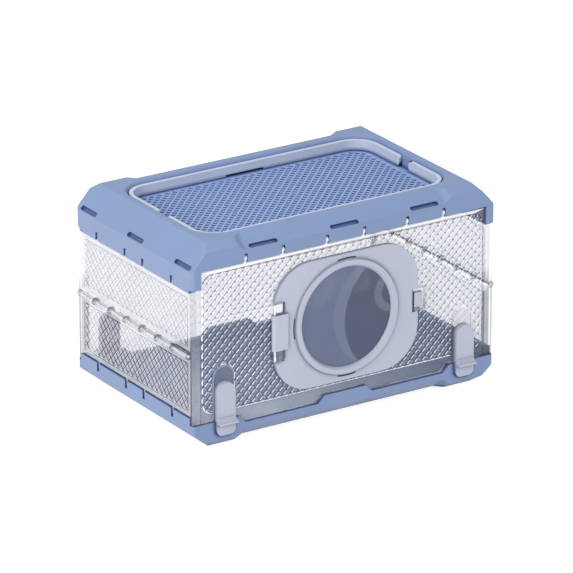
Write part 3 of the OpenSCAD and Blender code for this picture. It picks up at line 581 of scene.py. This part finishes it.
def quilt_wall(node, place, door, kind, groove):
    wall = welded_copy(node, node + "_quilted")
    sheet = quilt(node + "_relief", WALL_SHEET, WALL_LEVELS, place, groove)
    mask = prism("mask", rounded(*WALL_FIELD[0]), *WALL_MASK, place, rounded(*WALL_FIELD[1]))
    lands = [[latch_land(cx, grow) for grow in LATCH_GROW] for cx in (-LATCH_X, LATCH_X)]
    if door:
        lands.append([rounded(*outline) for outline in DOOR_LAND])
    for foot, top in lands:
        boolean(mask, prism("cut", foot, *WALL_MASK, place, top), "DIFFERENCE")
    boolean(sheet, mask, "INTERSECT")
    boolean(wall, sheet, "UNION")
    smooth(wall, WALL_CREASE)
    facets(wall, place, kind, WALL_RELIEF, WALL_START, groove, TAB_FOOT)
    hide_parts(node)
    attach(wall, node)


def at_front(u, v, w):
    return (u * MM, -w * MM, v * MM)


def at_back(u, v, w):
    return (-u * MM, w * MM, v * MM)


# The last argument is the share of a cell that its grooves take at either end, in both directions.
quilt_wall("front_wall", at_front, True, "front", ((0.13, 0.14), (0.08, 0.28)))
quilt_wall("back_wall", at_back, False, "back", ((0.08, 0.08), (0.08, 0.28)))

# Half panels of the short walls, each with a field between two heights.
LOWER_FIELD = (36.5, 81.9)
UPPER_FIELD = (97.9, 143.3)
PANEL_LEVELS = (157.0, 158.02, 158.5)
PANEL_RELIEF = (158.1, 158.6)
PANEL_MASK = (157, 159)
PANEL_END = 92
PANEL_LENGTH = (179.6, 171.6)       # the field's length at the mask's foot and top
PANEL_GROW = 4                      # the sheet and the mask's foot outgrow the field, its top is less
PANEL_GROOVE = ((0.08, 0.16), (0.12, 0.12))


def quilt_panel(node, body, side, z0, z1):
    def place(u, v, w):
        return (side * w * MM, u * side * MM, v * MM)

    panel = welded_copy(node, node + "_quilted")
    middle, height = (z0 + z1) / 2, z1 - z0
    field = (-PANEL_END, PANEL_END, z0 - PANEL_GROW, z1 + PANEL_GROW)
    sheet = quilt(node + "_relief", field, PANEL_LEVELS, place, PANEL_GROOVE)
    foot = rounded(0, middle, PANEL_LENGTH[0], height + PANEL_GROW, 3)
    top = rounded(0, middle, PANEL_LENGTH[1], height - PANEL_GROW, 1)
    boolean(sheet, prism("mask", foot, *PANEL_MASK, place, top), "INTERSECT")
    boolean(panel, sheet, "UNION")
    smooth(panel, WALL_CREASE)
    kind = "left" if side < 0 else "right"
    facets(panel, place, kind, PANEL_RELIEF, (-PANEL_END, middle), PANEL_GROOVE)
    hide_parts(node)
    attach(panel, body)


for side, word in ((-1, "left"), (1, "right")):
    quilt_panel(word + "_lower_panel", word + "_lower", side, *LOWER_FIELD)
    quilt_panel(word + "_upper_panel", word + "_upper", side, *UPPER_FIELD)


# Roof grille ---------------------------------------------------------------------

GRILLE_Z = (176.5, 178.9)
GRILLE_PLATE = (0, 0, 262.4, 145, 24.7, 20)
GRILLE_FIELD = (121, 62.3)          # half the length and half the width of the field of holes
GRILLE_CORNER = 15
GRILLE_PITCH = 5.8
HOLE_TOP, HOLE_FOOT = 2.15, 1.75    # half a hole's width at the plate's top and below its lip
HOLE_LIP, HOLE_FLARE = 0.5, 0.4
OVERCUT = 0.5
GRILLE_CREASE = 25


def grille():
    z0, z1 = GRILLE_Z

    def place(u, v, w):
        return (u * MM, v * MM, w * MM)

    plate = prism("roof_grille_fine", rounded(*GRILLE_PLATE), z0, z1, place)
    rings = ((HOLE_TOP + HOLE_FLARE, z1 + OVERCUT),
             (HOLE_FOOT, z1 - HOLE_LIP),
             (HOLE_FOOT, z0 - OVERCUT))
    verts, faces = [], []
    step = GRILLE_PITCH / math.sqrt(2)
    nu, nv = (int(half / step) for half in GRILLE_FIELD)
    for i in range(-nu, nu + 1):
        for j in range(-nv, nv + 1):
            u, v = i * step, j * step
            past = [max(0, abs(x) - (half - GRILLE_CORNER)) for x, half in zip((u, v), GRILLE_FIELD)]
            if (i + j) % 2 or math.hypot(*past) > GRILLE_CORNER:
                continue
            base = len(verts)
            for half, z in rings:
                radius = half * math.sqrt(2)
                for a in range(4):
                    angle = math.radians(90 * a)
                    verts.append(place(u + radius * math.cos(angle), v + radius * math.sin(angle), z))
            faces.append([base, base + 1, base + 2, base + 3])
            faces.append([base + 11, base + 10, base + 9, base + 8])
            for k in (base, base + 4):
                for a in range(4):
                    b = (a + 1) % 4
                    faces.append([k + a, k + 4 + a, k + 4 + b, k + b])
    holes = mesh_object("holes", verts, faces)
    fix_normals(holes)
    boolean(plate, holes, "DIFFERENCE")
    smooth(plate, GRILLE_CREASE)
    paint(plate, mat_mesh_lit)
    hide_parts("roof_grille")
    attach(plate, "roof")


grille()


# Stage, light and camera -------------------------------------------------------------

FLOOR_HALF, FLOOR_Z = 14, -0.0002   # metres
corners = [(-1, -1), (1, -1), (1, 1), (-1, 1)]
corners = [(x * FLOOR_HALF, y * FLOOR_HALF, FLOOR_Z) for x, y in corners]
floor = mesh_object("floor", corners, [(0, 1, 2, 3)])
# The floor gives off some light, so that it stays as white as the ground in the photograph.
fm, _, fb = new_material("pale_floor")
fb.inputs["Base Color"].default_value = (0.32, 0.32, 0.325, 1)
fb.inputs["Roughness"].default_value = 0.9
fb.inputs["Emission Color"].default_value = (1, 1, 1, 1)
fb.inputs["Emission Strength"].default_value = 0.88
fb.inputs["Specular IOR Level"].default_value = 0.0
paint(floor, fm)

scene = bpy.context.scene
world = bpy.data.worlds.new("studio")
scene.world = world
world.use_nodes = True
bg = world.node_tree.nodes["Background"]
bg.inputs["Color"].default_value = (0.97, 0.98, 1.0, 1)
bg.inputs["Strength"].default_value = 0.72


def turned(direction):
    """Rotation of a lamp or a camera that looks in a direction."""
    return Vector(direction).to_track_quat("-Z", "Y").to_euler()


LIGHT_AIM = Vector((0, 0, 0.1))


def area(name, where, side, power, colour=(1, 1, 1)):
    """A square soft light above the part, in metres and watts."""
    d = bpy.data.lights.new(name, "AREA")
    d.shape = "RECTANGLE"
    d.size = d.size_y = side
    d.energy = power
    d.color = colour
    o = bpy.data.objects.new(name, d)
    COLLECTION.objects.link(o)
    o.location = where
    o.rotation_euler = turned(LIGHT_AIM - Vector(where))


area("key", (-1.5, -0.35, 0.95), 1.0, 20, (1.0, 0.93, 0.86))
area("front", (-0.7, -2.3, 0.9), 1.5, 15)
area("top", (0.2, 0.2, 1.7), 1.4, 9)

scene.view_settings.view_transform = "Standard"
scene.view_settings.look = "None"

# The camera that was fitted to the edges of the box in the photograph.
FOCAL_PX, PICTURE_PX = 5876.74, 573
cam_data = bpy.data.cameras.new("camera")
cam_data.sensor_width = 36.0
cam_data.lens = FOCAL_PX / PICTURE_PX * 36.0
cam_data.clip_start, cam_data.clip_end = 0.5, 60
cam = bpy.data.objects.new("camera", cam_data)
COLLECTION.objects.link(cam)
cam.location = (-2.67255, -4.13842, 2.0109)
cam.rotation_euler = turned((0.50560, 0.78268, -0.36301))
scene.camera = cam
